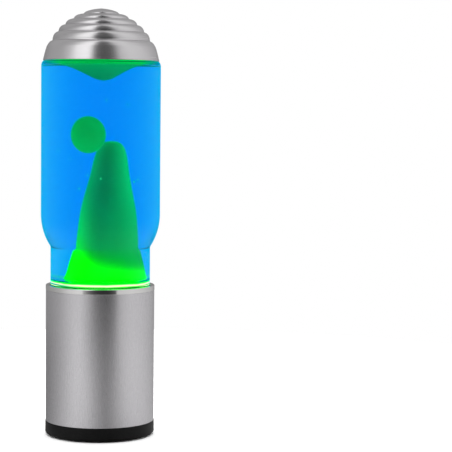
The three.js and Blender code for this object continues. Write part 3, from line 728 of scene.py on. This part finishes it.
def holder_core():
    cup = [
        (0, 24), *arc(11.1, 24.4, 0.4, -90, 0, 4), *arc(11.2, 56.2, 0.3, 0, 90, 4),
        *arc(8.0, 56.2, 0.3, 90, 180, 4), (7.7, 36.5), (0, 36.5),
    ]
    core = lathe("socket_core", cup, MAT["porcelain"], "base", "holder_core", sides=128, slot="porcelain")
    cut(core, block_mesh((-4.8, -3.7), (-2.3, 2.3), (23, 37.5)), block_mesh((8.3, 9.6), (-2.3, 2.3), (23, 37.5)),
        block_mesh((5, 9.6), (-2.3, 2.3), (36.5, 50)), *[hole_mesh(SCREW_HOLE_R, 23, 32, x) for x in TERMINAL_X])


def holder_contacts():
    centre = [
        (-9.4, TERMINAL_Z), (-4.2, TERMINAL_Z), (-4, 23.7), (-4, 36.4), (-3.8, 36.6), (2.2, 36.6), (2.5, 36.8),
        (2.4, 37.1), (-4.2, 37.1), (-4.5, 36.8), (-4.5, 24), (-9.4, 24),
    ]
    side = [
        (4.6, TERMINAL_Z), (9, TERMINAL_Z), (9.2, 23.7), (9.2, 44.8), (9.0, 45.4), (7.7, 48), (7.2, 47.6),
        (8.6, 44.9), (8.7, 44.4), (8.7, 24), (4.6, 24),
    ]
    springs = (("centre_spring", centre, "centre_contact"), ("side_spring", side, "side_contact"))
    for x, (name, outline, node) in zip(TERMINAL_X, springs):
        spring = add_object(name, sheet_mesh(name, outline, 2), MAT["brass"], "base", node, slot="brass")
        cut(spring, hole_mesh(SCREW_HOLE_R, 22, 25, x))


def terminal_screw(index, x):
    profile = [(0, -1.6), *arc(1.7, -1.3, 0.3, -90, 0, 3), (2, 0), (1.3, 0), (1.3, 6.3), (1.1, 6.5), (0, 6.5)]
    screw = lathe(f"clamp_screw_{index}", profile, MAT["brass"], "base", f"terminal_screw_{index}", sides=48,
                  slot="brass")
    cut(screw, turned(block_mesh((-3, 3), (-0.3, 0.3), (-3, -1.0)), 35 + 50 * index))
    screw.data.transform(place(x, 0, TERMINAL_Z))


def lamp_holder():
    holder_bracket()
    holder_nut()
    holder_nipple()
    holder_shells()
    holder_core()
    holder_contacts()
    for index, x in enumerate(TERMINAL_X, 1):
        terminal_screw(index, x)


# ------------------------------ reflector bulb
def bulb_base():
    lathe("bulb_contact", [(0, 37.2), (1.6, 37.2), (2.6, 37.35), (3.2, 37.8), (3.4, 38.4), (3.4, 39.2), (0, 39.2)],
          MAT["brass"], "bulb", "bulb_tip", sides=48, slot="brass")
    lathe("bulb_seal", [(0, 39.2), (4.2, 39.2), (5.4, 40.2), (6.1, 41.4), (0, 41.4)], MAT["black_glass"], "bulb",
          "bulb_insulator", sides=64, slot="black_glass")
    shell_low, top, crest, pitch = 41.4, 57.5, 6.95, 2.82
    threads = []
    for i in range(40):
        z = shell_low + 1.0 + i * 4 * pitch / 40
        threads.append((crest - 0.25 - 0.25 * math.cos(TAU * (z - shell_low - 1.0) / pitch), z))

    def helical(x, y, z, angle):
        r = math.hypot(x, y)
        if r < 6.3 or not shell_low + 0.8 < z < top - 3:
            return x, y, z
        fresh = crest - 0.25 - 0.25 * math.cos(TAU * (z - shell_low - 1.0) / pitch - angle)
        return x * fresh / r, y * fresh / r, z

    profile = [
        (5, shell_low), (crest - 0.7, shell_low), *threads, (crest - 0.4, top - 3), (crest - 0.4, top), (6.2, top),
        (6.2, shell_low + 0.8), (5, shell_low + 0.8),
    ]
    lathe("bulb_thread", profile, MAT["brass"], "bulb", "bulb_screw_shell", sides=96, shape=helical, slot="brass")


def bulb_envelope():
    outer = smooth([
        (5.9, 52), (5.9, 55), (5.95, 58), (6.9, 62), (9.5, 68), (13.8, 75.5), (17.6, 82), (19.3, 87), (19.3, 91),
        (17.4, 96), (13.4, 100), (7.4, 102.4), (0, 103),
    ], 5)
    inner = [(max(r - 0.8, 0), z - max((z - 88) / 15, 0) * 0.8) for r, z in reversed(outer)]
    lathe("bulb_reflector", [*outer, *inner], MAT["bulb_glass"], "bulb", "bulb_envelope", sides=128,
          slot="bulb_glass")


def bulb_inside():
    stem = smooth([(4.6, 46), (4.4, 50), (3.4, 56), (1.9, 62), (1.7, 65), (1.7, 69.5)], 5)
    lathe("bulb_mount", [(0, 46), *stem, (0, 69.5)], MAT["glass"], "bulb", "bulb_stem", sides=48, slot="clear_glass")
    for index, side in enumerate((-1, 1), 1):
        points = [(side * x, 0, z) for x, z in smooth([(1, 69.8), (3.5, 75), (6, 80)], 6)]
        name = f"bulb_wire_{index}"
        add_object(name, tube_mesh(name, points, 0.3, 10), MAT["tungsten"], "bulb", f"bulb_lead_{index}",
                   slot="filament_metal")
    spiral = []
    for i in range(241):
        t = i / 240
        a = 40 * TAU * t
        spiral.append((-5.6 + 11.2 * t, 0.3 * math.cos(a), 80.8 + 1.4 * math.sin(math.pi * t) + 0.3 * math.sin(a)))
    add_object("bulb_spiral", tube_mesh("bulb_spiral", spiral, 0.07, 5), MAT["tungsten"], "bulb", "bulb_filament",
               slot="filament_metal")


base_housing()
lamp_holder()
bulb_base()
bulb_envelope()
bulb_inside()


# ------------------------------ bottle
def shoulder(drop):
    points = smooth([(43.6, 289.66), (39, 292.1), (31, 296), (23, 299.4), (16.5, 301.6)], 6)
    return [(r, z - drop) for r, z in points[1:]]


def bottle_wall(depth, neck):
    """From the crease above the neck, round the swell, up the side and over the corner."""
    radius = GLASS_R - depth
    crease = math.acos(neck / radius)
    crease_z = SPHERE_Z - radius * math.sin(crease)
    soft = 1.0 + 1.7 * depth
    leave = crease - soft / radius
    start, end = (neck, crease_z - soft), (radius * math.cos(leave), SPHERE_Z - radius * math.sin(leave))
    fold = []
    for i in range(8):
        t = i / 8
        fold.append(tuple((1 - t) ** 2 * a + 2 * t * (1 - t) * b + t * t * c
                          for a, b, c in zip(start, (neck, crease_z), end)))
    return [
        *fold,
        *arc(0, SPHERE_Z, radius, -math.degrees(leave), 0, 28),
        *arc(GLASS_R - CORNER_R, CORNER_Z, CORNER_R - depth, 0, 60, 10),
    ]


def glass_bottle():
    neck, inner_neck = NECK_R, NECK_R - GLASS_WALL
    profile = [
        *smooth([(0, GLASS_BOTTOM + 1.5), (12, GLASS_BOTTOM + 1.4), (24, GLASS_BOTTOM + 0.8), (31, GLASS_BOTTOM)]),
        *arc(neck - HEEL_R, GLASS_BOTTOM + HEEL_R, HEEL_R, -90, 0, 10),
        *bottle_wall(0, neck),
        *shoulder(0),
        *smooth([(16.5, 301.6), (14.2, 303), (13.2, 305), (13, LIP_Z - 6.9)])[1:],
        *arc(12.6, LIP_Z - 5.9, 0.7, -60, 0, 4), *arc(12.4, LIP_Z - 0.9, 0.9, 0, 90, 6),
        *arc(9.9, LIP_Z - 0.7, 0.7, 90, 180, 5), (9.2, 302.6),
        *reversed(shoulder(GLASS_WALL * SHOULDER_DROP)),
        *reversed(bottle_wall(GLASS_WALL, inner_neck)),
        *arc(inner_neck - INNER_HEEL, FLOOR_Z + INNER_HEEL, INNER_HEEL, 0, -90, 10),
        (0, FLOOR_Z),
    ]
    lathe("bottle_glass", profile, MAT["glass"], "bottle", "glass_bottle", sides=192, slot="clear_glass")


def bottle_inside(depth, fill):
    """The inside of the glass, with its wall `depth` in from the outside."""
    neck = NECK_R - depth
    heel = INNER_HEEL + GLASS_WALL - depth
    floor = FLOOR_Z + depth - GLASS_WALL
    return [
        (0, floor), *arc(neck - heel, floor + heel, heel, -90, 0, 10),
        *bottle_wall(depth, neck),
        *[(r, z) for r, z in shoulder(depth * SHOULDER_DROP) if z < fill - 0.2],
        (16.0, fill), (0, fill),
    ]


WETTED = GLASS_WALL - 0.15  # the liquid's surface lies just inside the glass, so that no air shows


def liquid():
    profile = bottle_inside(WETTED, FILL_Z)
    lathe("liquid", profile, MAT["liquid"], "bottle", "blue_liquid", sides=192, slot="blue_liquid")


def column_shift(z):
    """How far the column stands to the right of the lamp's axis; the pool is central."""
    foot = POOL_Z + 0.05
    stations = [(foot, 3.0), (127, 3.4), (183, 4.6), (228, 6.2), (400, 6.2)]
    if z <= foot:
        return 0.0
    for (low_z, low_x), (high_z, high_x) in zip(stations, stations[1:]):
        if z <= high_z:
            return low_x + (high_x - low_x) * (z - low_z) / (high_z - low_z)


def wax_column():
    column = smooth([
        (24.2, POOL_Z + 0.1), (23.8, 122.2), (23.1, 124.8), (22.4, 127.8), (20.7, 136.7),
        (18.9, 146.1), (17.8, 158), (15.9, 174), (13.6, 188), (11.4, 201.8), (9.6, 215), (7.4, 223.2),
        (4.2, 227), (0, 228),
    ], 6)
    radius = NECK_R - WETTED - 0.05
    heel = INNER_HEEL + 0.1
    floor = FLOOR_Z - 0.1
    pool = [
        (0, floor), *arc(radius - heel, floor + heel, heel, -90, 0, 10),
        (radius, POOL_Z - 0.4), (radius - 0.12, POOL_Z - 0.12), (radius - 0.4, POOL_Z), (26.5, POOL_Z),
    ]

    def sway(x, y, z, angle):
        swell = 1 + 0.012 * math.sin(z / 9.0 + 2 * angle) * min(max((z - 124) / 10, 0), 1)
        return (x * swell + column_shift(z), y * swell, z)

    lathe("wax_rising", [*pool, *column], MAT["wax"], "bottle", "wax_column", sides=160, shape=sway,
          slot="green_wax")


def wax_top():
    bell = smooth([
        (0, 274), (4.5, 275.3), (8.7, 278.1), (13.2, 281.2), (17.9, 284.0), (22.1, 285.6), (28, 286.5), (36, 286.7),
        (41.5, 286.3), (43.3, 285.9),
    ], 6)
    wall = [(r, z) for r, z in bottle_wall(WETTED + 0.05, NECK_R) if z > 285.95]
    roof = [(r, z) for r, z in shoulder(WETTED * SHOULDER_DROP + 0.06) if wall[-1][1] + 0.1 < z < FILL_Z - 0.4]
    profile = [*bell, *wall, *roof, (16.0, FILL_Z - 0.1), (0, FILL_Z - 0.1)]

    def hang(x, y, z, angle):
        return (x + 1.5 * max(min((286 - z) / 12, 1), 0), y, z)

    lathe("wax_bell", profile, MAT["free_wax"], "bottle", "wax_top", sides=160, shape=hang, slot="green_wax")


def wax_ball():
    low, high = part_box("wax_ball")
    middle, half = (low + high) / 2, (high - low) / 2
    profile = [(half.x / MM * max(math.cos(math.radians(a)), 0), half.z / MM * math.sin(math.radians(a)))
               for a in range(-90, 91, 5)]
    profile[0], profile[-1] = (0, profile[0][1]), (0, profile[-1][1])
    centre = Matrix.Translation(middle)
    lathe("wax_drop", profile, MAT["free_wax"], "ball", "wax_ball", sides=96, slot="green_wax", at=centre)


def crown_closure():
    top = LIP_Z + 1.1
    profile = [
        (0, top), (12.4, top), (13.2, top - 0.15), (13.9, top - 0.5), (14.3, top - 1.1), (14.9, top - 3),
        (15.5, top - 4.6), (16.05, top - 6), (15.6, top - 6), (15.0, top - 4.5), (14.4, top - 3.4), (13.7, top - 1.6),
        (13.4, top - 0.6), (0, top - 0.6),
    ]

    def fluted(x, y, z, angle):
        down = min(max((top - 1.6 - z) / 4.4, 0), 1)
        scale = 1 - 0.03 * down * (0.5 - 0.5 * math.cos(21 * angle))
        return x * scale, y * scale, z

    lathe("crown_closure", profile, MAT["steel"], "bottle", "crown_cap", sides=336, shape=fluted, slot="plated_steel")
    liner = [(0, LIP_Z), (12.6, LIP_Z), (13, LIP_Z + 0.15), (13, LIP_Z + 0.5), (0, LIP_Z + 0.5)]
    lathe("closure_liner", liner, MAT["liner"], "bottle", "crown_liner", sides=96, slot="liner")


def wire_coil():
    """The steel spring that lies in the pool, wound into a ring."""
    ring, radius, wire, turns, open_angle = 17.0, 2.75, 0.4, 18, 0.25
    middle = FLOOR_Z + radius + wire + 0.1
    steps = turns * 20
    points = []
    for i in range(steps + 1):
        t = i / steps
        along, twist = open_angle + t * (TAU - 2 * open_angle), t * turns * TAU
        r = ring + radius * math.cos(twist)
        points.append((r * math.cos(along), r * math.sin(along), middle + radius * math.sin(twist)))
    add_object("spring_ring", tube_mesh("spring_ring", points, wire, 8), MAT["steel"], "bottle", "wire_coil",
               slot="plated_steel")


DROPLET_R = 41.4  # they all drift this far from the axis, near the glass
DROPLETS = [  # specks of wax that drift in the liquid: x, height and radius, mm
    (-15.6, 192.7, 0.6), (-9.6, 202.8, 0.5), (-0.1, 200.4, 0.85), (24.2, 197.9, 0.65), (26.8, 199.5, 0.55),
    (7.0, 185.1, 0.55), (1.8, 176.8, 0.4), (7.1, 171.9, 0.5), (9.0, 166.6, 0.45), (0.8, 151.1, 0.5),
    (-30.4, 220.8, 0.45), (-22.2, 214.9, 0.4), (3.7, 259.1, 0.5), (19.4, 255.9, 0.5), (11.1, 221.1, 0.35),
]


def droplets():
    ball = [(max(math.cos(math.radians(a)), 0), math.sin(math.radians(a))) for a in range(-90, 91, 30)]
    for index, (x, z, radius) in enumerate(DROPLETS, 1):
        depth = -math.sqrt(DROPLET_R ** 2 - x ** 2)
        profile = [(0 if abs(z_unit) > 0.99 else r * radius, z_unit * radius) for r, z_unit in ball]
        lathe(f"droplet_{index}", profile, MAT["droplet"], "bottle", sides=12, at=place(x, depth, z))


glass_bottle()
crown_closure()
liquid()
wax_column()
wax_top()
wax_ball()
wire_coil()
droplets()


# ------------------------------ cap
def cap_step(groove_r, top_z, foot_r, foot_z):
    """A rounded step of the cap, with the small fold at its foot."""
    steps = 12
    points = []
    for i in range(1, steps + 1):
        a = math.pi / 2 * i / steps
        points.append((groove_r + (foot_r - groove_r) * math.sin(a), foot_z + (top_z - foot_z) * math.cos(a)))
    return points


def top_cap():
    outside = [
        *smooth([(0, CAP_TOP), (5, 328.9), (9.4, 327.9), (12, 326.9), (13.3, 325.9)], 6), (13.55, 325.3),
        *cap_step(13.6, 325.2, 21.05, 321.5),
        *cap_step(21.05, 321.4, 27.45, 316.9),
        *cap_step(27.45, 316.8, 32.8, 311.5),
        *cap_step(32.8, 311.4, 37.4, 304.7),
        *smooth([(37.6, 304.5), (38.9, 304), (40.2, 302.7), (41.3, 301), (42.1, 299.3), (43.3, 295.2),
                 (CAP_RIM_R, CAP_RIM_Z + 0.2)], 8),
        (CAP_RIM_R - 0.15, CAP_RIM_Z),
    ]
    inside = [
        (CAP_RIM_R - 0.55, CAP_RIM_Z), (42.6, 295.4), (40.9, 299.8), (36.6, 303.8), (31.9, 310.7),
        (26.6, 315.9), (20.4, 320.5), (11.2, 326), (0, CAP_TOP - 0.9),
    ]
    lathe(
        "stepped_cap", [*outside, *inside], MAT["cap"], "cap", "top_cap", sides=256, sharp=50,
        slot="polished_aluminium")


top_cap()


# ------------------------------ stage, light and camera
def both_ways(stops):
    """The same ring on both sides of the front."""
    return [*[(-azimuth, shade) for azimuth, shade in reversed(stops)], *stops]


# rings of light round the lamp: azimuth in degrees, 0 towards -Y and positive towards +X, and a grey or a colour
# the floor's colour as metal mirrors it, painted by azimuth: a painted reflection
FLOOR_RING = [
    (-180, 0.10), (-126, 0.13), (-94, 0.2), (-69, 0.3), (-47, 0.4), (-25, 0.36), (10, 0.16), (50, 0.34),
    (71, 0.36), (97, 0.33), (131, 0.25), (180, 0.10),
]
LOW_RING = [
    (-180, 0.24), (-126, 0.36), (-94, 0.46), (-69, 0.66), (-47, 0.75), (-38, 0.75), (-36, 0.4), (-30, 0.26),
    (-24, 0.13), (-14, 0.06), (0, 0.03), (15, 0.03), (24, 0.05), (33, 0.1), (36, 0.66), (50, 0.66), (71, 0.72),
    (97, 0.66), (131, 0.52), (180, 0.24),
]
BROAD_RING = [
    (-180, 0.24), (-126, 0.36), (-94, 0.44), (-69, 0.62), (-47, 0.72), (-28, 0.74), (-18, 0.4), (-10, 0.04),
    (22, 0.01), (30, 0.08), (46, 0.6), (71, 0.7), (97, 0.66), (131, 0.52), (180, 0.24),
]
HIGH_RING = [
    (-180, 0.36), (-140, 0.42), (-104, 0.38), (-80, 0.5), (-66, 0.72), (-55, 1.1), (-25, 1.3), (-15, 0.13),
    (0, 0.08), (26, 0.12), (40, 0.6), (62, 0.78), (90, 0.74), (130, 0.5), (180, 0.36),
]
GLINT_RING = both_ways([(50, (0, 0.35, 0.15)), (90, (0, 0.5, 0.8)), (130, (0, 0.65, 1)), (180, (0, 0.7, 1))])
LIGHT_RING = both_ways([(36, 0.2), (60, 1.5), (100, 1.9), (180, 1.9)])


def ring(n, azimuth, stops):
    """A ring's shade at an azimuth in radians."""
    colours = [(degrees / 360 + 0.5, shade if isinstance(shade, tuple) else grey(shade)) for degrees, shade in stops]
    return n.ramp(n.span(azimuth, -math.pi, math.pi), colours)


FLOOR_SIZE = 0.62


def studio_floor():
    bm = bmesh.new()
    bmesh.ops.create_circle(bm, cap_ends=True, segments=96, radius=FLOOR_SIZE)
    mesh = bpy.data.meshes.new("floor")
    bm.to_mesh(mesh)
    bm.free()
    n = Nodes("floor")
    xyz = n.add("ShaderNodeSeparateXYZ", {"Vector": n.position()})
    azimuth = n.math("ARCTAN2", xyz.outputs["X"], n.math("MULTIPLY", xyz.outputs["Y"], -1.0))
    mirrored = ring(n, azimuth, FLOOR_RING)
    path = n.add("ShaderNodeLightPath")
    speckle = n.noise(n.position(), 30.0)
    colour = n.ramp(speckle, [(0.3, grey(0.84)), (0.7, grey(0.86))])
    # painted reflection: metal mirrors the floor as a ring of greys and clear glass mirrors it dark blue, while the
    # eye sees the floor's own pale grey
    mirrored = n.mix(path.outputs["Is Singular Ray"], mirrored, (0.0, 0.2, 0.35))
    reflected = n.math("SUBTRACT", path.outputs["Is Glossy Ray"], path.outputs["Is Transmission Ray"])
    colour = n.mix(n.math("MAXIMUM", reflected, 0.0), colour, mirrored)
    mesh.materials.append(n.finish(Base_Color=colour, Roughness=0.9, Specular_IOR_Level=0.0))
    floor = bpy.data.objects.new("floor", mesh)
    floor.location.z = -0.0001
    bpy.context.scene.collection.objects.link(floor)


def studio_world():
    """White to the eye and through glass. Metal mirrors rings of grey, and clear glass a blue-green one."""
    n = Nodes("studio", bpy.data.worlds)
    bpy.context.scene.world = n.owner
    direction = n.add("ShaderNodeSeparateXYZ", {"Vector": n.add("ShaderNodeTexCoord").outputs["Generated"]})
    azimuth = n.math("ARCTAN2", direction.outputs["X"], n.math("MULTIPLY", direction.outputs["Y"], -1.0))
    upward = direction.outputs["Z"]
    off_level = n.span(n.math("ABSOLUTE", n.math("ADD", upward, 0.1)), 0.03, 0.06)
    below = n.mix(off_level, ring(n, azimuth, LOW_RING), ring(n, azimuth, BROAD_RING))
    studio = n.mix(n.span(upward, 0.12, 0.42), below, ring(n, azimuth, HIGH_RING))
    path = n.add("ShaderNodeLightPath").outputs
    mirrored = n.mix(path["Is Singular Ray"], studio, ring(n, azimuth, GLINT_RING))
    seen = n.math("MAXIMUM", path["Is Camera Ray"], path["Is Transmission Ray"])
    undiffused = n.math("LESS_THAN", path["Diffuse Depth"], 0.5)
    shown = n.mix(n.math("MULTIPLY", seen, undiffused), mirrored, grey(1.0))
    lighting = n.mix(path["Is Diffuse Ray"], shown, ring(n, azimuth, LIGHT_RING))
    n.set(n.tree.nodes["Background"], "Color", lighting)


def softbox(name, place_at, target, size, power):
    light = bpy.data.lights.new(name, "AREA")
    light.shape = "RECTANGLE"
    light.size, light.size_y = size
    light.energy = power
    obj = bpy.data.objects.new(name, light)
    obj.location = place_at
    obj.rotation_euler = (Vector(target) - Vector(place_at)).to_track_quat("-Z", "Y").to_euler()
    obj.visible_camera = False
    bpy.context.scene.collection.objects.link(obj)
    return obj


CAMERA_AT, CAMERA_TURN, LENS = (0, -1.3096, 0.2533), (4.26, -3.962, 0.553), 134.5  # m; yaw, pitch, roll; mm


def camera():
    """The lamp stands left of the middle, seen from a little above."""
    yaw, pitch, roll = (math.radians(angle) for angle in CAMERA_TURN)
    forward = Vector((math.sin(yaw) * math.cos(pitch), math.cos(yaw) * math.cos(pitch), math.sin(pitch)))
    right = forward.cross(Vector((0, 0, 1))).normalized()
    up = right.cross(forward)
    tilted_right = right * math.cos(roll) + up * math.sin(roll)
    tilted_up = up * math.cos(roll) - right * math.sin(roll)
    data = bpy.data.cameras.new("camera")
    data.lens = LENS
    data.sensor_width = 36
    data.clip_start = 0.01
    obj = bpy.data.objects.new("camera", data)
    axes = Matrix((tilted_right, tilted_up, -forward)).transposed().to_4x4()
    obj.matrix_world = Matrix.Translation(CAMERA_AT) @ axes
    bpy.context.scene.collection.objects.link(obj)
    bpy.context.scene.camera = obj


studio_floor()
studio_world()
overhead = softbox("overhead", (0, 0.1, 1.6), (0, 0, 0), (1.6, 1.6), 26)
overhead.visible_glossy = False
overhead.visible_transmission = False
camera()
bpy.context.scene.view_settings.view_transform = "Standard"
